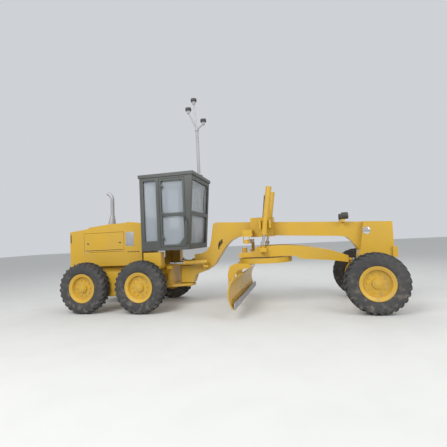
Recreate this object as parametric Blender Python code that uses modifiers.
"""Motor grader: tandem-drive rear frame with cab and engine hood, hinged to a gooseneck front frame that
carries the drawbar, circle and blade and stands on leaning, steered front wheels.

Frame: metres, +X forward, +Y to the machine's left, +Z up. The origin is on the ground, under the middle
of the overall length. Places along X are written from the tandem centre with fore(), because the drive
wheels are what the rest of the machine is set out from.
"""

import math

import bmesh
import bpy
from mathutils import Matrix, Vector

# --- driving dimensions -------------------------------------------------------------------------------
OVERALL_LENGTH = 8.40
REAR_OVERHANG = 1.70          # tandem centre to the rear bumper's back face
WHEELBASE = 6.05              # tandem centre to front axle
TANDEM_PITCH = 1.54
TRACK_HALF = 1.05             # wheel centre planes from the middle plane
TYRE_RADIUS = 0.635           # to the flat under each of the crown's facets
TYRE_HALF_WIDTH = 0.17
BEAD_RADIUS = 0.345
AXLE_Z = TYRE_RADIUS
WHEEL_STEPS = 36

PIVOT_FORE = 1.62             # articulation pin, forward of the tandem centre
CAB_FLOOR_Z = 1.48
CAB_ROOF_Z = 3.40
CAB_HALF_WIDTH = 0.80
WALL = 0.05
HOOD_HALF_WIDTH = 0.50
BEAM_HALF_WIDTH = 0.15
BALL_FORE = 5.80              # drawbar ball, just behind the nose
BALL_Z = 1.06
CIRCLE_FORE = 3.70
CIRCLE_RADIUS = 0.66
BLADE_HALF_LENGTH = 1.70
FIT = 0.0003                  # gap between pieces that touch
CLEAR = 0.008                 # gap between pieces that move past each other

SIDES = (("left", 1), ("right", -1))
TANDEM_X = REAR_OVERHANG - OVERALL_LENGTH / 2


def fore(distance):
    """X of a place this far forward of the tandem centre."""
    return TANDEM_X + distance


# --- materials ----------------------------------------------------------------------------------------
# name: (red, green, blue, roughness, metallic)
FINISHES = {
    "yellow_paint": (0.80, 0.50, 0.04, 0.45, 0.0),
    "cab_grey": (0.10, 0.11, 0.11, 0.50, 0.0),
    "tyre_rubber": (0.06, 0.06, 0.065, 0.85, 0.0),
    "window_glass": (0.65, 0.72, 0.72, 0.08, 0.0),
    "rod_chrome": (0.75, 0.75, 0.76, 0.15, 1.0),
    "bare_steel": (0.45, 0.44, 0.43, 0.45, 0.9),
    "engine_cast": (0.16, 0.15, 0.14, 0.65, 0.3),
    "black_vinyl": (0.03, 0.03, 0.03, 0.60, 0.0),
}


def finish(name):
    """The named Principled material, made once."""
    material = bpy.data.materials.get(name)
    if material:
        return material
    material = bpy.data.materials.new(name)
    material.use_nodes = True
    shader = material.node_tree.nodes["Principled BSDF"]
    red, green, blue, roughness, metallic = FINISHES[name]
    shader.inputs["Base Color"].default_value = (red, green, blue, 1.0)
    shader.inputs["Roughness"].default_value = roughness
    shader.inputs["Metallic"].default_value = metallic
    return material


# --- modelling tools ----------------------------------------------------------------------------------
for old in list(bpy.data.objects):
    bpy.data.objects.remove(old, do_unlink=True)
GRADER = bpy.data.collections.new("motor_grader")
HELPERS = bpy.data.collections.new("cutters")
for collection in (GRADER, HELPERS):
    bpy.context.scene.collection.children.link(collection)


def add(name, data, material, helper=False):
    """An object in the grader's collection, or a hidden one in the cutters'."""
    thing = bpy.data.objects.new(name, data)
    (HELPERS if helper else GRADER).objects.link(thing)
    if helper:
        thing.hide_render = True
        thing.display_type = "WIRE"
    elif material:
        data.materials.append(finish(material))
    return thing


def mesh_of(name, bm):
    """Closes a bmesh into mesh data with its faces pointing out."""
    bmesh.ops.recalc_face_normals(bm, faces=bm.faces)
    data = bpy.data.meshes.new(name)
    bm.to_mesh(data)
    bm.free()
    return data


def box(name, low, high, material=None, helper=False):
    """A box between two corners."""
    low, high = Vector(low), Vector(high)
    bm = bmesh.new()
    bmesh.ops.create_cube(bm, size=1.0)
    bmesh.ops.scale(bm, vec=high - low, verts=bm.verts)
    bmesh.ops.translate(bm, vec=(low + high) / 2, verts=bm.verts)
    return add(name, mesh_of(name, bm), material, helper)


def rod(name, start, end, radius, material=None, helper=False, steps=16, end_radius=None):
    """A round bar, or a cone where end_radius is given, from one point to another."""
    start, end = Vector(start), Vector(end)
    along = end - start
    bm = bmesh.new()
    bmesh.ops.create_cone(
        bm, cap_ends=True, segments=steps, radius1=radius,
        radius2=radius if end_radius is None else end_radius, depth=along.length,
    )
    turn = along.to_track_quat("Z", "Y").to_matrix().to_4x4()
    bmesh.ops.transform(bm, matrix=Matrix.Translation((start + end) / 2) @ turn, verts=bm.verts)
    return add(name, mesh_of(name, bm), material, helper)


def outline(name, loops, low, high, plane="XZ", material=None, helper=False):
    """A flat outline given thickness. loops are closed lists of points, the first the outside and the rest
    holes. In plane XZ the thickness runs along Y from low to high, and in plane XY along Z."""
    curve = bpy.data.curves.new(name, "CURVE")
    curve.dimensions = "2D"
    curve.fill_mode = "BOTH"
    curve.extrude = (high - low) / 2
    for loop in loops:
        spline = curve.splines.new("POLY")
        spline.points.add(len(loop) - 1)
        for point, (across, up) in zip(spline.points, loop):
            point.co = (across, up, 0.0, 1.0)
        spline.use_cyclic_u = True
    guide = bpy.data.objects.new(name + "_curve", curve)
    HELPERS.objects.link(guide)
    data = bpy.data.meshes.new_from_object(guide.evaluated_get(bpy.context.evaluated_depsgraph_get()))
    bpy.data.objects.remove(guide, do_unlink=True)
    bm = bmesh.new()
    bm.from_mesh(data)
    bmesh.ops.remove_doubles(bm, verts=bm.verts, dist=1e-5)
    middle = (low + high) / 2
    if plane == "XZ":
        place = Matrix.Translation((0, middle, 0)) @ Matrix.Rotation(math.pi / 2, 4, "X")
    elif plane == "YZ":
        place = Matrix(((0, 0, 1, middle), (1, 0, 0, 0), (0, 1, 0, 0), (0, 0, 0, 1)))
    else:
        place = Matrix.Translation((0, 0, middle))
    bmesh.ops.transform(bm, matrix=place, verts=bm.verts)
    return add(name, mesh_of(name, bm), material, helper)


def turned(name, profile, steps, base, along, material=None, phase=0.0, closed=False, helper=False):
    """A turned shape. profile lists (radius, distance along the axis), down the outer side; a closed one is
    a ring. base is the axis's zero point and along its direction."""
    data = bpy.data.meshes.new(name)
    bm = bmesh.new()
    points = [bm.verts.new((radius, 0.0, height)) for radius, height in profile]
    pairs = list(zip(points, points[1:])) + ([(points[-1], points[0])] if closed else [])
    for first, second in pairs:
        bm.edges.new((first, second))
    bmesh.ops.rotate(bm, cent=(0, 0, 0), matrix=Matrix.Rotation(phase, 3, "Z"), verts=bm.verts)
    bm.to_mesh(data)
    bm.free()
    thing = add(name, data, material, helper)
    screw = thing.modifiers.new("turn", "SCREW")
    screw.axis = "Z"
    screw.steps = screw.render_steps = steps
    screw.use_merge_vertices = True
    screw.merge_threshold = 1e-5
    screw.use_normal_calculate = False
    thing.location = base
    thing.rotation_mode = "QUATERNION"
    thing.rotation_quaternion = Vector(along).to_track_quat("Z", "Y")
    return thing


def boolean(thing, others, operation):
    """Adds one Boolean for each helper, with Blender's default solver."""
    for other in others:
        step = thing.modifiers.new(operation.lower(), "BOOLEAN")
        step.operation = operation
        step.object = other
    return thing


def cut(thing, *others):
    return boolean(thing, others, "DIFFERENCE")


def unite(thing, *others):
    return boolean(thing, others, "UNION")


def helper_box(name, low, high):
    return box(name, low, high, helper=True)


def arc(centre, radius, start, end, steps):
    """Points on an arc, with angles in degrees."""
    return [
        (centre[0] + radius * math.cos(math.radians(start + (end - start) * i / steps)),
         centre[1] + radius * math.sin(math.radians(start + (end - start) * i / steps)))
        for i in range(steps + 1)
    ]


def mirrored(points):
    """An outline's points and their mirror images across the middle plane, as one closed loop."""
    return points + [(x, -y) for x, y in reversed(points)]


# --- wheels -------------------------------------------------------------------------------------------
# Half of the tyre's section: (share of the half width, radius)
TYRE_SECTION = ((0.76, BEAD_RADIUS), (0.76, 0.362), (0.95, 0.42), (1.0, 0.51), (0.93, 0.595), (0.66, 0.629))
# Rim section from the hub cap outwards and back along the inside: (radius, distance out from wheel centre)
RIM_SECTION = (
    (0.0, 0.105), (0.095, 0.100), (0.105, 0.050), (0.265, 0.045), (0.285, 0.115), (0.345, 0.140), (0.358, 0.140),
    (0.358, 0.1296), (0.3446, 0.1296), (0.3446, -0.1296), (0.358, -0.1296), (0.358, -0.140), (0.315, -0.135),
    (0.295, 0.020), (0.105, 0.010),
)


def tyre_profile():
    flat = 1 / math.cos(math.pi / WHEEL_STEPS)
    half = [(radius if radius == BEAD_RADIUS else radius * flat, share * TYRE_HALF_WIDTH)
            for share, radius in TYRE_SECTION]
    crown = [(TYRE_RADIUS * flat, 0.0)]
    return half + crown + [(radius, -across) for radius, across in reversed(half)]


def wheel(label, x, side, hub_inner):
    """A tyre and its rim, turned about the axle line. hub_inner is how far the hub reaches inwards."""
    centre = (x, side * TRACK_HALF, AXLE_Z)
    turned(f"tyre_{label}", tyre_profile(), WHEEL_STEPS, centre, (0, side, 0), "tyre_rubber",
           phase=math.pi / WHEEL_STEPS, closed=True)
    section = list(RIM_SECTION) + [(0.100, -hub_inner), (0.0, -hub_inner)]
    turned(f"rim_{label}", section, WHEEL_STEPS, centre, (0, side, 0), "yellow_paint",
           phase=math.pi / WHEEL_STEPS)


def build_wheels():
    tandem_hub = TRACK_HALF - TANDEM_OUTER - CLEAR
    for side_name, side in SIDES:
        for place, offset in (("rear", -TANDEM_PITCH / 2), ("middle", TANDEM_PITCH / 2)):
            wheel(f"{place}_{side_name}", fore(offset), side, tandem_hub)
        wheel(f"front_{side_name}", fore(WHEELBASE), side, TRACK_HALF - SPINDLE_Y - CLEAR)


# --- rear frame, axle and tandems ---------------------------------------------------------------------
TANDEM_INNER, TANDEM_OUTER = 0.70, 0.86
RAIL_INNER, RAIL_OUTER = 0.27, 0.38
RAIL_LOW, RAIL_HIGH = 0.88, 1.10
PLATE_RADIUS = 0.20           # hitch plates, round the articulation pin
LOWER_PLATE = (0.52, 0.58)
UPPER_PLATE = (1.06, 1.12)
HITCH_BACK = 1.18             # fore of the clevis's back wall
OUTRIGGER = (0.78, 1.16)      # fore of the plate that carries the side boxes and the cab


def build_rear_frame():
    rear, front = fore(-REAR_OVERHANG + 0.10), fore(HITCH_BACK + 0.10)
    plan = mirrored([(rear, RAIL_OUTER), (front, RAIL_OUTER)])
    bays = []
    for back, ahead in ((-1.48, -0.62), (-0.50, 0.50), (0.62, HITCH_BACK)):
        bays.append(mirrored([(fore(back), RAIL_INNER), (fore(ahead), RAIL_INNER)]))
    frame = outline("rear_frame", [plan] + bays, RAIL_LOW, RAIL_HIGH, "XY", "yellow_paint")
    pin = (fore(PIVOT_FORE), 0)
    plate = mirrored([(fore(HITCH_BACK - 0.03), 0.37), (fore(HITCH_BACK + 0.12), 0.37)]
                     + arc(pin, PLATE_RADIUS, 85, 5, 6))
    pieces = [
        helper_box("bumper", (fore(-REAR_OVERHANG), -0.50, 0.84), (rear + 0.02, 0.50, 1.08)),
        helper_box("outrigger", (fore(OUTRIGGER[0]), -0.78, 1.04), (fore(OUTRIGGER[1]), 0.78, 1.09)),
        helper_box("clevis_back", (fore(HITCH_BACK + 0.02), -0.36, LOWER_PLATE[0] + 0.01),
                   (fore(HITCH_BACK + 0.09), 0.36, UPPER_PLATE[1] - 0.03)),
        outline("lower_plate", [plate], *LOWER_PLATE, "XY", helper=True),
        outline("upper_plate", [plate], *UPPER_PLATE, "XY", helper=True),
        rod("pin", (*pin, LOWER_PLATE[0] - 0.04), (*pin, UPPER_PLATE[1] + 0.04), 0.06, helper=True),
    ]
    for _, side in SIDES:
        pieces.append(helper_box("cab_post", (fore(0.80), side * 0.50 - 0.04, 1.06),
                                 (fore(0.92), side * 0.50 + 0.04, CAB_FLOOR_Z - FIT)))
        pieces.append(helper_box("cylinder_lug", (fore(HITCH_BACK + 0.04), side * 0.42 - 0.07, 0.99),
                                 (fore(ARTICULATION_ROD_FORE + 0.05), side * 0.42 + 0.07, 1.075)))
    unite(frame, *pieces)


def build_side_boxes():
    """Battery and tool boxes under the cab's rear half, on the outrigger."""
    for side_name, side in SIDES:
        inner, outer = sorted((side * 0.56, side * 0.79))
        box(f"side_box_{side_name}", (fore(0.74), inner, 1.09 + FIT), (fore(1.20), outer, 1.44), "yellow_paint")


def build_rear_axle():
    """Final drive housing across the machine, with the bevel gear's bulge in the middle."""
    end = TANDEM_INNER - FIT
    half = [(0.0, end), (0.17, end), (0.17, 0.24), (0.25, 0.15)]
    profile = half + [(radius, -across) for radius, across in reversed(half)]
    turned("rear_axle", profile, 24, (fore(0), 0, 0.68), (0, 1, 0), "yellow_paint")


def build_tandems():
    """Chain cases. Their ends are round about the wheels, and the middle stands taller."""
    half = TANDEM_PITCH / 2
    back = arc((fore(-half), AXLE_Z), 0.25, 250, 100, 8)
    ahead = arc((fore(half), AXLE_Z), 0.25, 80, -70, 8)
    top = [(fore(-0.30), 1.00), (fore(0.30), 1.00)]
    profile = back + top + ahead + [(fore(0.3), 0.38), (fore(-0.3), 0.38)]
    for side_name, side in SIDES:
        low, high = sorted((side * TANDEM_INNER, side * TANDEM_OUTER))
        outline(f"tandem_case_{side_name}", [profile], low, high, "XZ", "yellow_paint")


# --- engine and hood ----------------------------------------------------------------------------------
HOOD_REAR, HOOD_FRONT = -1.60, 0.55
HOOD_SKIRT_Z = 1.12
# top line of the hood: (fore of tandem centre, height)
HOOD_TOP = ((HOOD_REAR, 2.08), (-1.04, 2.14), (-1.00, 2.18), (-0.40, 2.235), (0.10, 2.25), (0.18, 2.27),
            (HOOD_FRONT, 2.22))
DOOR_REAR, DOOR_FRONT, DOOR_LOW, DOOR_HIGH = -1.16, 0.04, 1.50, 2.02
HOOD_WALL = 0.03


def build_hood():
    top = [(fore(x), z) for x, z in HOOD_TOP]
    outer = [(fore(HOOD_REAR), HOOD_SKIRT_Z), *top, (fore(HOOD_FRONT), HOOD_SKIRT_Z)]
    hood = outline("hood", [outer], -HOOD_HALF_WIDTH, HOOD_HALF_WIDTH, "XZ", "yellow_paint")
    inside = [(fore(HOOD_REAR + HOOD_WALL), HOOD_SKIRT_Z - 0.05)]
    inside += [(x + (HOOD_WALL if i == 0 else -HOOD_WALL if i == len(top) - 1 else 0), z - HOOD_WALL)
               for i, (x, z) in enumerate(top)]
    inside += [(fore(HOOD_FRONT - HOOD_WALL), HOOD_SKIRT_Z - 0.05)]
    within = HOOD_HALF_WIDTH - HOOD_WALL
    grille_hole = helper_box("grille_hole", (fore(HOOD_REAR) - 0.1, -0.36, 1.28),
                             (fore(HOOD_REAR) + 0.1, 0.36, 1.98))
    door_holes = helper_box("door_holes", (fore(DOOR_REAR), -1, DOOR_LOW), (fore(DOOR_FRONT), 1, DOOR_HIGH))
    cut(hood, outline("hood_inside", [inside], -within, within, "XZ", helper=True), grille_hole, door_holes)


def build_hood_doors():
    for side_name, side in SIDES:
        low, high = sorted((side * HOOD_HALF_WIDTH, side * (HOOD_HALF_WIDTH - HOOD_WALL)))
        box(f"hood_door_{side_name}", (fore(DOOR_REAR) + CLEAR, low, DOOR_LOW + CLEAR),
            (fore(DOOR_FRONT) - CLEAR, high, DOOR_HIGH - CLEAR), "yellow_paint")


def build_engine():
    """The engine as one plain block on the rails, with the radiator guard behind it."""
    box("engine", (fore(-1.10), -0.33, RAIL_HIGH + FIT), (fore(0.10), 0.33, 1.86), "engine_cast")
    rear = fore(HOOD_REAR)
    guard = box("radiator_guard", (rear - 0.04, -0.42, 1.20), (rear - FIT, 0.42, 2.02), "yellow_paint")
    slots = 7
    pitch = 0.68 / slots
    for i in range(slots):
        low = 1.27 + i * pitch
        cut(guard, helper_box("louvre", (rear - 0.1, -0.34, low), (rear + 0.1, 0.34, low + pitch * 0.6)))


def build_exhaust():
    """Upright pipe on a flared foot, its outlet bent towards the rear."""
    foot = fore(-0.60)
    curve = bpy.data.curves.new("exhaust_stack", "CURVE")
    curve.dimensions = "3D"
    curve.bevel_depth = 0.055
    curve.bevel_resolution = 2
    curve.use_fill_caps = True
    bend = [(foot + 0.03 - 0.17 * (1 - math.cos(math.radians(a))), 2.98 + 0.17 * math.sin(math.radians(a)))
            for a in (0, 20, 40, 60)]
    route = [(foot + 0.02, 2.38), *bend, (bend[-1][0] - 0.05, bend[-1][1] + 0.03)]
    spline = curve.splines.new("POLY")
    spline.points.add(len(route) - 1)
    for point, (x, z) in zip(spline.points, route):
        point.co = (x, 0.0, z, 1.0)
    guide = bpy.data.objects.new("exhaust_curve", curve)
    HELPERS.objects.link(guide)
    data = bpy.data.meshes.new_from_object(guide.evaluated_get(bpy.context.evaluated_depsgraph_get()))
    bpy.data.objects.remove(guide, do_unlink=True)
    bm = bmesh.new()
    bm.from_mesh(data)
    bmesh.ops.remove_doubles(bm, verts=bm.verts, dist=1e-5)
    stack = add("exhaust_stack", mesh_of("exhaust_stack", bm), "bare_steel")
    roof = 2.27
    unite(stack, rod("flare", (foot, 0, roof), (foot + 0.02, 0, roof + 0.26), 0.11, helper=True, end_radius=0.06))


# --- cab ----------------------------------------------------------------------------------------------
CAB_REAR = 0.70
CAB_FRONT_LOW, CAB_FRONT_HIGH = 1.945, 2.10   # the front face leans out towards the roof
ROOF_UNDER = 3.34
DOOR = dict(rear=1.22, front=1.90, low=1.56, high=3.27)
BELT_LOW, BELT_HIGH = 2.33, 2.40


def cab_front_at(z):
    """Fore of the cab's front face at a height."""
    share = (z - CAB_FLOOR_Z) / (ROOF_UNDER - CAB_FLOOR_Z)
    return CAB_FRONT_LOW + (CAB_FRONT_HIGH - CAB_FRONT_LOW) * share


def cab_section(inset, low, high):
    """The cab's side outline between two heights, drawn in by inset."""
    return [(fore(CAB_REAR + inset), low), (fore(CAB_REAR + inset), high),
            (fore(cab_front_at(high) - inset), high), (fore(cab_front_at(low) - inset), low)]


def build_cab():
    half = CAB_HALF_WIDTH
    frame = outline("cab_frame", [cab_section(0, CAB_FLOOR_Z, ROOF_UNDER)], -half, half, "XZ", "cab_grey")
    room = outline("cab_room", [cab_section(WALL, CAB_FLOOR_Z + WALL, ROOF_UNDER - 0.04)],
                   -half + WALL, half - WALL, "XZ", helper=True)
    roof = outline("roof_panel", [cab_section(-0.03, ROOF_UNDER - 0.02, CAB_ROOF_Z)], -half - 0.02, half + 0.02,
                   "XZ", helper=True)
    unite(frame, roof)
    windows = [
        helper_box("quarter_windows", (fore(0.80), -1, 1.72), (fore(1.14), 1, 3.24)),
        helper_box("door_holes_cab", (fore(DOOR["rear"]), -1, DOOR["low"]), (fore(DOOR["front"]), 1, DOOR["high"])),
        helper_box("front_upper", (fore(1.70), -0.70, BELT_HIGH + 0.03), (fore(2.40), 0.70, 3.22)),
        helper_box("front_lower", (fore(1.60), -0.64, 1.62), (fore(2.40), 0.64, BELT_LOW)),
        helper_box("rear_upper", (fore(0.40), -0.66, 2.36), (fore(1.00), 0.66, 3.22)),
    ]
    cut(frame, room, *windows)


def build_glass():
    """Panes against the inside of the cab's walls, each over the openings of one wall."""
    inner = CAB_HALF_WIDTH - WALL
    thick = 0.012
    pane = [(fore(cab_front_at(z) - WALL - FIT - d), z) for z, d in ((1.58, 0), (3.26, 0), (3.26, thick), (1.58, thick))]
    outline("windshield", [pane], -0.73, 0.73, "XZ", "window_glass")
    rear = fore(CAB_REAR + WALL) + FIT
    box("rear_window", (rear, -0.70, 2.30), (rear + thick, 0.70, 3.26), "window_glass")
    for side_name, side in SIDES:
        low, high = sorted((side * (inner - FIT), side * (inner - FIT - thick)))
        box(f"quarter_window_{side_name}", (fore(0.79), low, 1.67), (fore(1.17), high, 3.27), "window_glass")


def build_cab_doors():
    """Steel-framed doors with an upper and a lower light; the lower light's front corner is cut off."""
    for side_name, side in SIDES:
        low, high = sorted((side * CAB_HALF_WIDTH, side * (CAB_HALF_WIDTH - WALL)))
        rear, front = fore(DOOR["rear"]) + CLEAR, fore(DOOR["front"]) - CLEAR
        bottom, top = DOOR["low"] + CLEAR, DOOR["high"] - CLEAR
        border = 0.05
        outer = [(rear, bottom), (rear, top), (front, top), (front, bottom)]
        upper = [(rear + border, BELT_HIGH), (rear + border, top - border), (front - border, top - border),
                 (front - border, BELT_HIGH)]
        lower = [(rear + border, bottom + border), (rear + border, BELT_LOW), (front - border, BELT_LOW),
                 (front - border, bottom + 0.22), (front - border - 0.14, bottom + border)]
        door = outline(f"cab_door_{side_name}", [outer, upper, lower], low, high, "XZ", "cab_grey")
        unite(door, helper_box("handle", (front - 0.045, side * CAB_HALF_WIDTH - 0.025, 2.16),
                               (front - 0.015, side * CAB_HALF_WIDTH + 0.025, 2.30)))
        inner = CAB_HALF_WIDTH - WALL - FIT
        low, high = sorted((side * inner, side * (inner - 0.01)))
        box(f"door_glass_{side_name}", (rear + 0.02, low, bottom + 0.02), (front - 0.02, high, top - 0.02),
            "window_glass")


def build_cab_inside():
    floor = CAB_FLOOR_Z + WALL + FIT
    seat = box("operator_seat", (fore(1.02), -0.24, floor + 0.36), (fore(1.50), 0.24, floor + 0.50), "black_vinyl")
    unite(seat,
          helper_box("seat_back", (fore(0.92), -0.23, floor + 0.42), (fore(1.06), 0.23, floor + 1.05)),
          helper_box("seat_base", (fore(1.12), -0.16, floor), (fore(1.40), 0.16, floor + 0.38)))
    console = box("control_console", (fore(1.66), -0.20, floor), (fore(1.80), 0.20, floor + 0.72), "cab_grey")
    unite(console,
          rod("column", (fore(1.72), 0, floor + 0.66), (fore(1.61), 0, floor + 0.88), 0.03, helper=True),
          rod("steering_wheel", (fore(1.62), 0, floor + 0.86), (fore(1.605), 0, floor + 0.89), 0.20, helper=True,
              steps=24))


def build_lamp_mast():
    """A pole at the front of the roof with three lamps on bent arms."""
    foot = Vector((fore(2.06), -0.05, CAB_ROOF_Z + FIT))
    fork = foot + Vector((0.0, 0.0, 1.30))
    mast = rod("lamp_mast", foot, fork, 0.042, "bare_steel", steps=12)
    arms = ((-0.20, -0.05, 0.40), (-0.06, 0.02, 0.66), (0.16, 0.10, 0.10))
    for i, (dx, dy, dz) in enumerate(arms):
        end = fork + Vector((dx, dy, dz))
        start = fork + Vector((0, 0, -0.04))
        lamp_top = end + Vector((0, 0, 0.16))
        unite(mast, rod(f"arm_{i}", start, end + Vector((0, 0, 0.03)), 0.022, helper=True, steps=8),
              rod(f"lamp_{i}", end, lamp_top, 0.035, helper=True, steps=12, end_radius=0.08))


# --- front frame and its fittings ---------------------------------------------------------------------
# side outline of the gooseneck frame, clockwise from the hitch: (fore, height)
GOOSENECK = (
    (1.42, 0.60), (1.42, 1.04), (1.87, 1.04), (1.87, 1.33), (2.05, 1.34), (2.20, 1.40), (2.29, 1.52), (2.34, 1.70),
    (2.40, 2.07), (2.43, 2.11), (2.50, 2.13), (6.63, 1.91), (6.63, 1.10), (5.98, 1.10), (5.98, 1.20), (5.75, 1.52), (5.64, 1.61), (5.50, 1.63), (3.24, 1.76), (3.02, 1.72), (2.86, 1.64), (2.74, 1.53),
    (2.50, 1.20), (2.42, 1.07), (2.30, 0.97), (2.16, 0.89), (1.88, 0.80), (1.80, 0.60),
)
NOSE_HALF_WIDTH = 0.25
AXLE_PIN_Z = 0.76


def build_front_frame():
    frame = outline("front_frame", [[(fore(x), z) for x, z in GOOSENECK]], -BEAM_HALF_WIDTH, BEAM_HALF_WIDTH,
                    "XZ", "yellow_paint")
    nose = [(5.90, 1.12), (6.03, 1.945), (6.64, 1.912), (6.64, 1.06), (5.90, 1.06)]
    tow_plate = helper_box("tow_plate", (fore(6.60), -0.30, 1.10), (fore(6.70), 0.30, 1.34))
    pieces = [
        outline("nose", [[(fore(x), z) for x, z in nose]], -NOSE_HALF_WIDTH, NOSE_HALF_WIDTH, "XZ", helper=True),
        tow_plate,
        rod("axle_pin", (fore(WHEELBASE - 0.17), 0, AXLE_PIN_Z), (fore(WHEELBASE + 0.17), 0, AXLE_PIN_Z), 0.05,
            helper=True),
        helper_box("axle_plate_rear", (fore(WHEELBASE - 0.14), -0.13, 0.66), (fore(WHEELBASE - 0.10), 0.13, 1.12)),
        helper_box("axle_plate_front", (fore(WHEELBASE + 0.10), -0.13, 0.66), (fore(WHEELBASE + 0.14), 0.13, 1.12)),
        helper_box("lamp_bar", (fore(5.55), -0.30, 1.955), (fore(5.62), 0.30, 2.02)),
        helper_box("ball_socket", (fore(5.88), -0.08, BALL_Z - 0.08), (fore(5.99), 0.08, BALL_Z + 0.10)),
    ]
    for _, side in SIDES:
        pieces.append(rod("head_lamp", (fore(5.56), side * 0.26, 2.10), (fore(5.70), side * 0.26, 2.10), 0.075,
                          helper=True, steps=16))
        pieces.append(helper_box("lamp_stalk", (fore(5.57), side * 0.26 - 0.02, 1.99),
                                 (fore(5.61), side * 0.26 + 0.02, 2.08)))
        pieces.append(helper_box("articulation_lug", (fore(ARTICULATION_BASE_FORE - 0.06), side * 0.24 - 0.12, 1.00),
                                 (fore(ARTICULATION_BASE_FORE + 0.06), side * 0.24 + 0.12, 1.06)))
    unite(frame, *pieces)
    pin = (fore(PIVOT_FORE), 0)
    bore = rod("pin_bore", (*pin, 0.4), (*pin, 1.3), 0.06 + CLEAR, helper=True)
    top_arc = outline("head_round", [[(fore(1.2), 0.4), (fore(1.2), -0.4), (pin[0], -0.4)]
                                     + arc(pin, 0.20, -90, -270, 8) + [(pin[0], 0.4)]], 0.3, 1.2, "XY", helper=True)
    cut(frame, bore, top_arc)


LIFT_TRUNNION = (3.79, 0.52, 2.00)     # fore, out from the middle, height
LIFT_TOP_Z = 2.86
LIFT_TIP = (3.715, 0.52, 1.50)
SHIFT_BASE = (3.33, -0.60, 1.60)
SHIFT_TIP = (3.33, 0.50, 1.60)


def build_lift_saddle():
    """Saddle over the beam. Forks at its sides hold the lift cylinders' trunnions, and an arm at the right
    holds the drawbar shift cylinder."""
    half = BEAM_HALF_WIDTH
    saddle = box("lift_saddle", (fore(3.40), -0.27, 1.70), (fore(3.96), 0.27, 2.18), "yellow_paint")
    beam_room = outline("beam_room", [[(fore(3.30), 1.7523), (fore(3.30), 2.0880), (fore(4.10), 2.0454),
                                       (fore(4.10), 1.7104)]], -half - FIT, half + FIT, "XZ", helper=True)
    pieces = []
    for _, side in SIDES:
        for back, ahead in ((3.655, 3.690), (3.890, 3.925)):
            inner, outer = sorted((side * 0.25, side * 0.60))
            pieces.append(helper_box("fork", (fore(back), inner, 1.90), (fore(ahead), outer, 2.10)))
    base = fore(SHIFT_BASE[0])
    pieces.append(helper_box("shift_arm", (base - 0.08, SHIFT_BASE[1] - 0.03, 1.72), (base + 0.14, -0.25, 1.88)))
    for ahead in (-0.075, 0.060):
        pieces.append(helper_box("shift_ear", (base + ahead, SHIFT_BASE[1] - 0.03, SHIFT_BASE[2] - 0.04),
                                 (base + ahead + 0.015, SHIFT_BASE[1] + 0.04, 1.80)))
    unite(saddle, *pieces)
    cut(saddle, beam_room)


def build_cylinder(label, base, tip, barrel_length, rod_inside, radius, rod_radius):
    """A hydraulic cylinder: a bored barrel from its base, and a rod that slides in it out to its tip."""
    base, tip = Vector(base), Vector(tip)
    along = (tip - base).normalized()
    length = (tip - base).length
    bore, gland, eye, eye_length = rod_radius + CLEAR, radius * 1.12, rod_radius * 1.7, 0.08
    barrel = [(0.0, 0.03), (bore, 0.03), (bore, barrel_length), (gland, barrel_length),
              (gland, barrel_length - 0.06), (radius, barrel_length - 0.06), (radius, -0.03), (0.0, -0.03)]
    turned(f"{label}_barrel", barrel, 16, base, along, "yellow_paint")
    inner = barrel_length - rod_inside
    stem = [(0.0, length), (eye, length), (eye, length - eye_length), (rod_radius, length - eye_length),
            (rod_radius, inner), (0.0, inner)]
    turned(f"{label}_rod", stem, 16, base, along, "rod_chrome")


ARTICULATION_BASE_FORE, ARTICULATION_BASE_Y = 2.22, 0.30
ARTICULATION_ROD_FORE, ARTICULATION_ROD_Y = 1.30, 0.42
ARTICULATION_Z = 1.135


def build_cylinders():
    for side_name, side in SIDES:
        lean = Vector((LIFT_TRUNNION[0] - LIFT_TIP[0], 0, LIFT_TRUNNION[2] - LIFT_TIP[2]))
        rise = (LIFT_TOP_Z - LIFT_TIP[2]) / lean.z
        top = (fore(LIFT_TIP[0] + lean.x * rise), side * LIFT_TIP[1], LIFT_TOP_Z)
        tip = (fore(LIFT_TIP[0]), side * LIFT_TIP[1], LIFT_TIP[2])
        build_cylinder(f"lift_{side_name}", top, tip, 1.12, 0.88, 0.07, 0.035)
        build_cylinder(f"articulation_{side_name}",
                       (fore(ARTICULATION_BASE_FORE), side * ARTICULATION_BASE_Y, ARTICULATION_Z),
                       (fore(ARTICULATION_ROD_FORE), side * ARTICULATION_ROD_Y, ARTICULATION_Z),
                       0.58, 0.36, 0.055, 0.028)
    build_cylinder("drawbar_shift", (fore(SHIFT_BASE[0]), *SHIFT_BASE[1:]), (fore(SHIFT_TIP[0]), *SHIFT_TIP[1:]),
                   0.68, 0.34, 0.05, 0.026)


# --- front axle ---------------------------------------------------------------------------------------
LEAN_Y, LEAN_Z = 0.74, 0.50
KINGPIN_Y = 0.84
SPINDLE_Y = 0.945
STEER_ROD_FORE, STEER_ROD_Z = 5.86, 0.475


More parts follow.
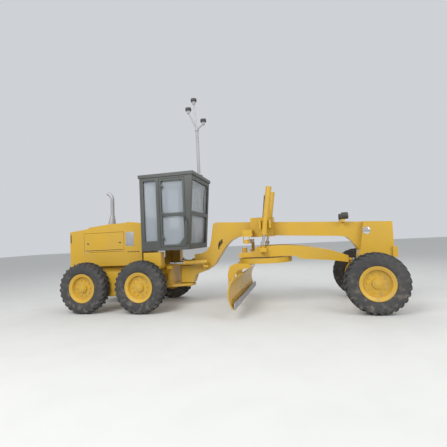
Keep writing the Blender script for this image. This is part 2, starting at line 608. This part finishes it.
def build_front_axle():
    x = fore(WHEELBASE)
    beam = [(0.64, 0.50), (0.64, 0.80), (0.20, 0.855), (-0.20, 0.855), (-0.64, 0.80), (-0.64, 0.50), (-0.45, 0.50),
            (-0.20, 0.60), (0.20, 0.60), (0.45, 0.50)]
    axle = outline("front_axle", [beam], x - 0.09, x + 0.09, "YZ", "yellow_paint")
    pieces = [
        rod("steering_barrel", (fore(STEER_ROD_FORE), -0.33, STEER_ROD_Z), (fore(STEER_ROD_FORE), 0.33, STEER_ROD_Z),
            0.055, helper=True),
    ]
    for _, side in SIDES:
        inner, outer = sorted((side * 0.17, side * 0.25))
        pieces.append(helper_box("steering_bracket", (fore(STEER_ROD_FORE) - 0.01, inner, STEER_ROD_Z + 0.03),
                                 (x - 0.05, outer, 0.66)))
        for back, ahead in ((-0.115, -0.075), (0.075, 0.115)):
            inner, outer = sorted((side * 0.52, side * 0.79))
            pieces.append(helper_box("lean_lug", (x + back, inner, 0.44), (x + ahead, outer, 0.58)))
    unite(axle, *pieces)
    reach = 0.5
    cut(axle,
        rod("steering_bore", (fore(STEER_ROD_FORE), -reach, STEER_ROD_Z), (fore(STEER_ROD_FORE), reach, STEER_ROD_Z),
            0.025 + CLEAR, helper=True),
        rod("axle_pin_bore", (x - reach, 0, AXLE_PIN_Z), (x + reach, 0, AXLE_PIN_Z), 0.05 + FIT, helper=True))
    rod("steering_rod", (fore(STEER_ROD_FORE), -0.76, STEER_ROD_Z), (fore(STEER_ROD_FORE), 0.76, STEER_ROD_Z),
        0.025, "rod_chrome")


def build_knuckles():
    x = fore(WHEELBASE)
    for side_name, side in SIDES:
        kingpin = side * KINGPIN_Y
        lean = rod(f"lean_bracket_{side_name}", (x, kingpin, 0.42), (x, kingpin, 0.86), 0.055, "yellow_paint")
        inner, outer = sorted((side * 0.69, side * KINGPIN_Y))
        unite(lean, helper_box("lean_eye", (x - 0.065, inner, 0.44), (x + 0.065, outer, 0.56)))
        near, far = sorted((side * (KINGPIN_Y + 0.066), side * SPINDLE_Y))
        knuckle = box(f"steering_knuckle_{side_name}", (x - 0.07, near, 0.37), (x + 0.07, far, 0.91), "yellow_paint")
        arm_inner, arm_outer = sorted((side * 0.79, side * 0.92))
        arms = [helper_box("upper_arm", (x - 0.06, arm_inner, 0.87), (x + 0.06, arm_outer, 0.91)),
                helper_box("lower_arm", (x - 0.06, arm_inner, 0.37), (x + 0.06, arm_outer, 0.41))]
        steer = [(x - 0.05, side * 0.80), (x + 0.02, side * 0.86), (fore(STEER_ROD_FORE) - 0.03, side * 0.78),
                 (fore(STEER_ROD_FORE) - 0.03, side * 0.72), (fore(STEER_ROD_FORE) + 0.03, side * 0.70)]
        arms.append(outline("steering_arm", [steer], 0.375, 0.41, "XY", helper=True))
        unite(knuckle, *arms)


# --- drawbar, circle and blade ------------------------------------------------------------------------
DRAWBAR_SIDE = ((3.10, 1.215), (3.10, 1.32), (3.46, 1.34), (3.58, 1.475), (4.15, 1.48), (4.60, 1.44), (5.25, 1.315),
                (5.68, 1.16), (5.68, 1.00), (5.25, 1.07), (4.60, 1.13), (4.42, 1.215))
RING_LOW, RING_HIGH = 1.07, 1.19


def build_drawbar():
    side = outline("drawbar", [[(fore(x), z) for x, z in DRAWBAR_SIDE]], -0.70, 0.70, "XZ", "yellow_paint")
    plan = mirrored([(fore(3.10), 0.42), (fore(3.60), 0.47), (fore(3.95), 0.47), (fore(5.40), 0.13),
                     (fore(5.68), 0.07)])
    gap = mirrored([(fore(3.52), 0.30), (fore(4.02), 0.33), (fore(5.00), 0.08)])
    boolean(side, [outline("drawbar_plan", [plan, gap], 0.9, 1.6, "XY", helper=True)], "INTERSECT")
    tip_x = fore(LIFT_TIP[0])
    pieces = [
        rod("ball_neck", (fore(5.60), 0, BALL_Z + 0.02), (fore(BALL_FORE - 0.045), 0, BALL_Z), 0.035, helper=True),
        helper_box("outrigger_bar", (tip_x - 0.08, -0.60, 1.34), (tip_x + 0.08, 0.60, 1.44)),
        rod("circle_motor", (fore(3.18), 0.0, 1.30), (fore(3.18), 0.0, 1.44), 0.065, helper=True),
        helper_box("shift_post", (fore(SHIFT_TIP[0] - 0.04), 0.512, 1.31), (fore(SHIFT_TIP[0] + 0.04), 0.56, 1.65)),
        helper_box("shift_foot", (fore(SHIFT_TIP[0] - 0.06), 0.38, 1.30), (fore(SHIFT_TIP[0] + 0.06), 0.57, 1.38)),
    ]
    for _, sign in SIDES:
        pieces.append(rod("ball_post", (tip_x, sign * LIFT_TIP[1], 1.40), (tip_x, sign * LIFT_TIP[1], 1.487), 0.04,
                          helper=True, steps=12))
    unite(side, *pieces)
    ball = bmesh.new()
    bmesh.ops.create_uvsphere(ball, u_segments=16, v_segments=10, radius=0.036)
    bmesh.ops.translate(ball, vec=(fore(BALL_FORE), 0, BALL_Z), verts=ball.verts)
    add("drawbar_ball", mesh_of("drawbar_ball", ball), "bare_steel")


def build_circle():
    """Toothed ring under the drawbar, with two arms dropped from its rear to the blade's pivots."""
    centre = (fore(CIRCLE_FORE), 0)
    ring = outline("circle", [arc(centre, CIRCLE_RADIUS, 0, 350, 35), arc(centre, 0.53, 0, 350, 35)],
                   RING_LOW, RING_HIGH, "XY", "yellow_paint")
    arm = [(3.40, 1.075), (3.02, 1.085), (2.88, 1.02), (2.82, 0.82), (2.84, 0.56), (2.93, 0.515), (3.00, 0.56),
           (2.99, 0.80), (3.08, 0.92), (3.40, 0.98)]
    for _, side in SIDES:
        low, high = sorted((side * 0.50, side * 0.56))
        unite(ring, outline("circle_arm", [[(fore(x), z) for x, z in arm]], low, high, "XZ", helper=True))


TILT_FORE, TILT_Z = 2.93, 0.60
BLADE_EDGE = (3.20, 0.22)     # fore and height of the cutting edge
BLADE_TOP = (3.17, 0.83)
BLADE_THICK = 0.028


def blade_section():
    """The moldboard's section: an arc through the cutting edge and the top edge, hollow side forward."""
    edge, top = Vector(BLADE_EDGE), Vector(BLADE_TOP)
    sag = 0.11
    half = (top - edge).length / 2
    radius = (half * half + sag * sag) / (2 * sag)
    middle = (edge + top) / 2
    centre = middle + Vector((radius - sag, 0.0))
    spread = math.degrees(math.asin(half / radius))
    tilt = math.degrees(math.atan2(top.x - edge.x, top.y - edge.y))
    face = arc(centre, radius, 180 - spread + tilt, 180 + spread + tilt, 10)
    back = arc(centre, radius + BLADE_THICK, 180 + spread + tilt, 180 - spread + tilt, 10)
    return [(fore(x), z) for x, z in face + back]


def build_blade():
    blade = outline("moldboard", [blade_section()], -BLADE_HALF_LENGTH, BLADE_HALF_LENGTH, "XZ", "yellow_paint")
    reach = BLADE_HALF_LENGTH - 0.25
    rails = [helper_box("upper_rail", (fore(3.022), -reach, 0.69), (fore(3.10), reach, 0.735)),
             helper_box("lower_rail", (fore(3.022), -reach, 0.36), (fore(3.12), reach, 0.405))]
    unite(blade, *rails)
    bracket = rod("blade_bracket", (fore(TILT_FORE), -0.49, TILT_Z), (fore(TILT_FORE), 0.49, TILT_Z), 0.055,
                  "yellow_paint")
    for _, side in SIDES:
        low, high = sorted((side * 0.36, side * 0.47))
        unite(bracket, helper_box("slide_shoe", (fore(2.93), low, 0.34), (fore(3.022) - CLEAR, high, 0.75)))


def main():
    build_rear_frame()
    build_side_boxes()
    build_rear_axle()
    build_tandems()
    build_wheels()
    build_hood()
    build_hood_doors()
    build_engine()
    build_exhaust()
    build_cab()
    build_glass()
    build_cab_doors()
    build_cab_inside()
    build_lamp_mast()
    build_front_frame()
    build_lift_saddle()
    build_cylinders()
    build_front_axle()
    build_knuckles()
    build_drawbar()
    build_circle()
    build_blade()


main()
